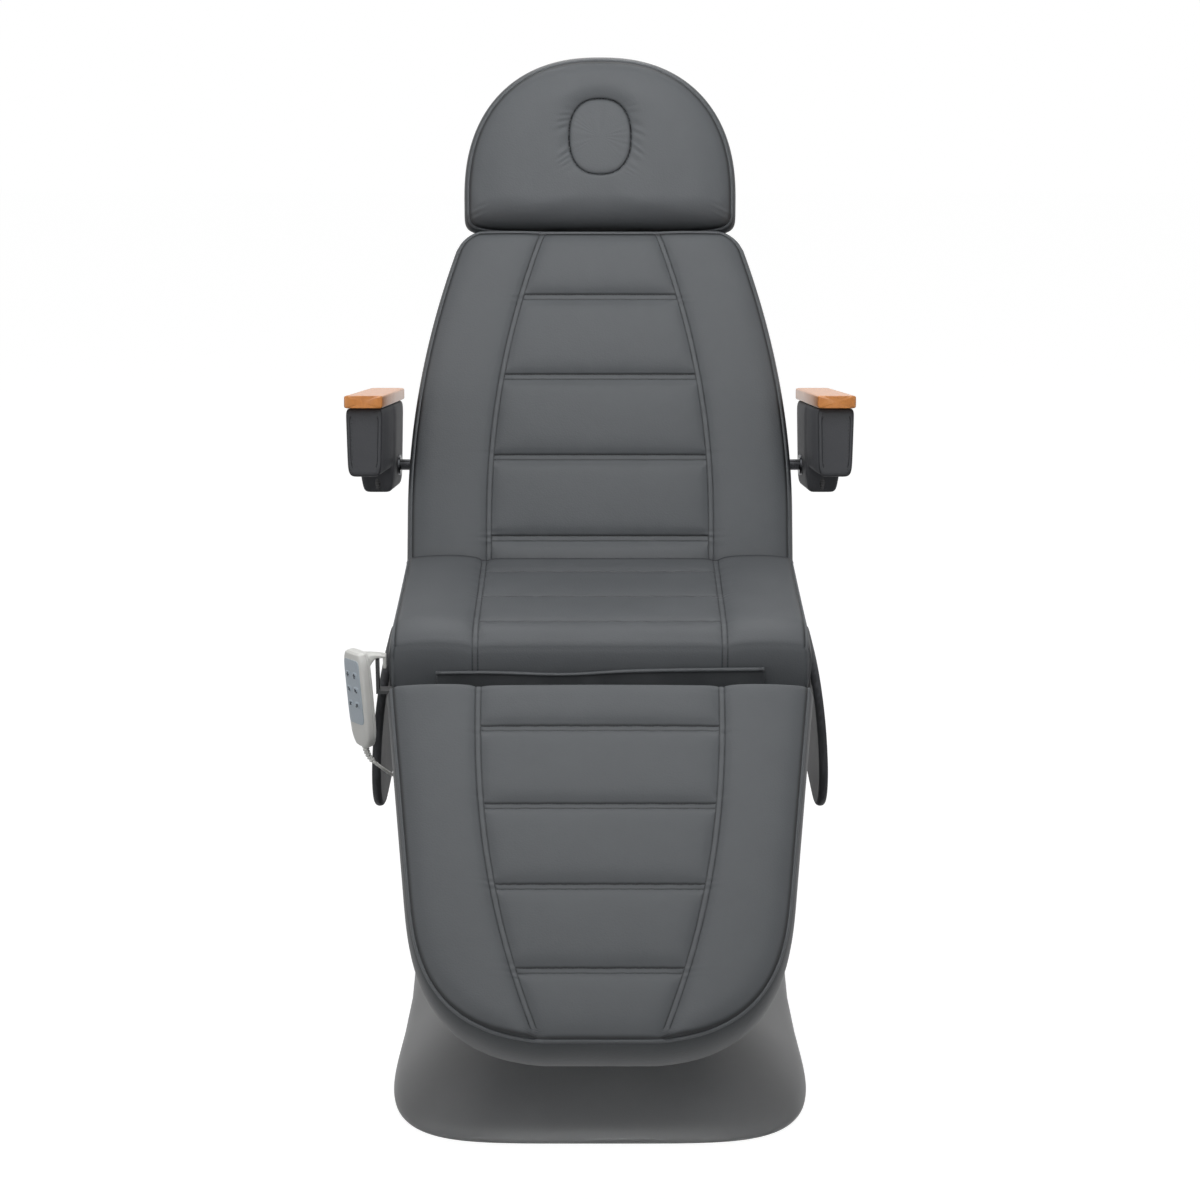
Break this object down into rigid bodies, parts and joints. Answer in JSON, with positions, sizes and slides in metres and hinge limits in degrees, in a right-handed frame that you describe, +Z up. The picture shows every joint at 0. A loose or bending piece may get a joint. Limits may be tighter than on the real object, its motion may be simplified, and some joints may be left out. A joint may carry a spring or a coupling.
{
  "type": "electric treatment chair",
  "caption": "Padded motor-driven treatment chair: a flat seat between a reclining back and a hinged leg rest, with lift linkage, folding armrests, headrest and wired handset.",
  "frame": {"origin": "on the floor under the middle of the base", "axes": "+Z up; the chair faces -Y; +X is to the right of a viewer who stands in front of it"},
  "size_m": [0.782, 1.2753, 1.4591],
  "materials": {
    "grey_vinyl": "soft sheen, fine grain",
    "dark_vinyl": "soft sheen, fine grain",
    "grey_abs": "satin moulding",
    "powder_coated_steel": "black powder coat",
    "bright_steel": "bright",
    "plywood": "raw",
    "lacquered_beech": "gloss lacquer",
    "rubber": "matt",
    "black_plastic": "fine texture",
    "off_white_abs": "fine texture",
    "blue_grey_film": "matt film"
  },
  "bodies": {
    "base": {"base_frame": "powder_coated_steel", "base_cover": "grey_abs", "foot_front_left": "rubber", "foot_front_right": "rubber", "foot_rear_left": "rubber", "foot_rear_right": "rubber", "base_lower_shaft": "bright_steel", "base_upper_shaft": "bright_steel"},
    "lower_arm": {"lower_lift_arm": "powder_coated_steel"},
    "upper_links": {"upper_link_left": "powder_coated_steel", "upper_link_right": "powder_coated_steel"},
    "lift_motor_body": {"lift_motor": "black_plastic"},
    "lift_rod_body": {"lift_rod": "bright_steel"},
    "seat": {"carriage_plate_left": "powder_coated_steel", "carriage_plate_right": "powder_coated_steel", "carriage_lower_shaft": "bright_steel", "carriage_upper_shaft": "bright_steel", "seat_frame": "powder_coated_steel", "seat_board": "plywood", "seat_cushion": "grey_vinyl", "gap_flap": "grey_vinyl", "side_wing_left": "dark_vinyl", "side_wing_right": "dark_vinyl", "handset_bracket": "powder_coated_steel", "control_box": "black_plastic", "mains_inlet": "black_plastic", "backrest_hinge_pin": "bright_steel", "legrest_hinge_pin": "bright_steel", "handset_cord": "off_white_abs"},
    "back_motor_body": {"back_motor": "black_plastic"},
    "back_rod_body": {"back_rod": "bright_steel"},
    "leg_motor_body": {"leg_motor": "black_plastic"},
    "leg_rod_body": {"leg_rod": "bright_steel"},
    "backrest": {"backrest_frame": "powder_coated_steel", "backrest_board": "plywood", "backrest_cushion": "grey_vinyl"},
    "legrest": {"legrest_frame": "powder_coated_steel", "legrest_board": "plywood", "legrest_cushion": "grey_vinyl"},
    "head_slide": {"headrest_fork": "bright_steel"},
    "headrest": {"headrest_bracket": "powder_coated_steel", "headrest_board": "plywood", "headrest_cushion": "grey_vinyl"},
    "face_plug_body": {"face_plug": "grey_vinyl"},
    "armrest_left": {"armrest_top_left": "lacquered_beech", "armrest_pad_left": "dark_vinyl", "armrest_rod_left": "bright_steel"},
    "armrest_right": {"armrest_top_right": "lacquered_beech", "armrest_pad_right": "dark_vinyl", "armrest_rod_right": "bright_steel"},
    "handset": {"handset_front_shell": "off_white_abs", "handset_rear_shell": "off_white_abs", "keypad_panel": "blue_grey_film", "strain_relief": "off_white_abs"},
    "key_lift_down_body": {"key_lift_down": "off_white_abs"},
    "key_lift_up_body": {"key_lift_up": "off_white_abs"},
    "key_back_down_body": {"key_back_down": "off_white_abs"},
    "key_back_up_body": {"key_back_up": "off_white_abs"},
    "key_leg_down_body": {"key_leg_down": "off_white_abs"},
    "key_leg_up_body": {"key_leg_up": "off_white_abs"}
  },
  "joints": [
    {"name": "lift", "type": "hinge", "parent": "base", "child": "lower_arm", "pos_m": [0, 0.2, 0.165], "axis": [-1, 0, 0], "range_deg": [0, 40]},
    {"name": "upper_link_turn", "type": "hinge", "parent": "base", "child": "upper_links", "pos_m": [0, 0.2, 0.285], "axis": [-1, 0, 0], "range_deg": [0, 40]},
    {"name": "seat_level", "type": "hinge", "parent": "lower_arm", "child": "seat", "pos_m": [0, -0.14773, 0.25817], "axis": [-1, 0, 0], "range_deg": [-40, 0]},
    {"name": "lift_motor_swing", "type": "hinge", "parent": "base", "child": "lift_motor_body", "pos_m": [0, -0.27, 0.13], "axis": [-1, 0, 0], "range_deg": [0, 1.25]},
    {"name": "lift_rod_slide", "type": "slide", "parent": "lift_motor_body", "child": "lift_rod_body", "axis": [0, 0.9754, 0.2204], "range_m": [0, 0.047]},
    {"name": "backrest_recline", "type": "hinge", "parent": "seat", "child": "backrest", "pos_m": [0, 0.237, 0.64], "axis": [1, 0, 0], "range_deg": [-65.8, 14]},
    {"name": "back_motor_swing", "type": "hinge", "parent": "seat", "child": "back_motor_body", "pos_m": [0.05, -0.1, 0.4], "axis": [1, 0, 0], "range_deg": [-0.2, 0.7]},
    {"name": "back_rod_slide", "type": "slide", "parent": "back_motor_body", "child": "back_rod_body", "axis": [0, 0.8695, 0.494], "range_m": [-0.048, 0.0105]},
    {"name": "legrest_raise", "type": "hinge", "parent": "seat", "child": "legrest", "pos_m": [0, -0.15, 0.585], "axis": [-1, 0, 0], "range_deg": [-18.5, 36.5]},
    {"name": "leg_motor_swing", "type": "hinge", "parent": "seat", "child": "leg_motor_body", "pos_m": [-0.05, 0.06, 0.525], "axis": [-1, 0, 0], "range_deg": [-0.15, 0.25]},
    {"name": "leg_rod_slide", "type": "slide", "parent": "leg_motor_body", "child": "leg_rod_body", "axis": [0, -0.9997, 0.0259], "range_m": [-0.0175, 0.0345]},
    {"name": "headrest_height", "type": "slide", "parent": "backrest", "child": "head_slide", "axis": [0, 0.4099, 0.9121], "range_m": [0, 0.1]},
    {"name": "headrest_tilt", "type": "hinge", "parent": "head_slide", "child": "headrest", "pos_m": [0, 0.54033, 1.19273], "axis": [-1, 0, 0], "range_deg": [0, 25]},
    {"name": "face_plug_pull", "type": "slide", "parent": "headrest", "child": "face_plug_body", "axis": [0, -0.972, 0.2351], "range_m": [0, 0.09]},
    {"name": "armrest_left_lift", "type": "hinge", "parent": "backrest", "child": "armrest_left", "pos_m": [0, 0.36698, 0.80699], "axis": [-1, 0, 0], "range_deg": [0, 95]},
    {"name": "armrest_right_lift", "type": "hinge", "parent": "backrest", "child": "armrest_right", "pos_m": [0, 0.36698, 0.80699], "axis": [-1, 0, 0], "range_deg": [0, 95]},
    {"name": "handset_lift_off", "type": "slide", "parent": "seat", "child": "handset", "axis": [0, 0, 1], "range_m": [0, 0.06]},
    {"name": "key_lift_down_press", "type": "slide", "parent": "handset", "child": "key_lift_down_body", "axis": [0.7642, 0.6428, 0.0534], "range_m": [0, 0.0008], "stiffness_N_per_m": 1500},
    {"name": "key_lift_up_press", "type": "slide", "parent": "handset", "child": "key_lift_up_body", "axis": [0.7642, 0.6428, 0.0534], "range_m": [0, 0.0008], "stiffness_N_per_m": 1500},
    {"name": "key_back_down_press", "type": "slide", "parent": "handset", "child": "key_back_down_body", "axis": [0.7642, 0.6428, 0.0534], "range_m": [0, 0.0008], "stiffness_N_per_m": 1500},
    {"name": "key_back_up_press", "type": "slide", "parent": "handset", "child": "key_back_up_body", "axis": [0.7642, 0.6428, 0.0534], "range_m": [0, 0.0008], "stiffness_N_per_m": 1500},
    {"name": "key_leg_down_press", "type": "slide", "parent": "handset", "child": "key_leg_down_body", "axis": [0.7642, 0.6428, 0.0534], "range_m": [0, 0.0008], "stiffness_N_per_m": 1500},
    {"name": "key_leg_up_press", "type": "slide", "parent": "handset", "child": "key_leg_up_body", "axis": [0.7642, 0.6428, 0.0534], "range_m": [0, 0.0008], "stiffness_N_per_m": 1500}
  ],
  "couplings": [
    {"joint": "upper_link_turn", "follows": "lift", "ratio": 1},
    {"joint": "seat_level", "follows": "lift", "ratio": -1},
    {"joint": "lift_motor_swing", "follows": "lift", "ratio": 0.03},
    {"joint": "lift_rod_slide", "follows": "lift", "m_per_rad": 0.06706},
    {"joint": "back_motor_swing", "follows": "backrest_recline", "ratio": -0.01},
    {"joint": "back_rod_slide", "follows": "backrest_recline", "m_per_rad": 0.04144},
    {"joint": "leg_motor_swing", "follows": "legrest_raise", "ratio": 0.0065},
    {"joint": "leg_rod_slide", "follows": "legrest_raise", "m_per_rad": 0.05335}
  ]
}
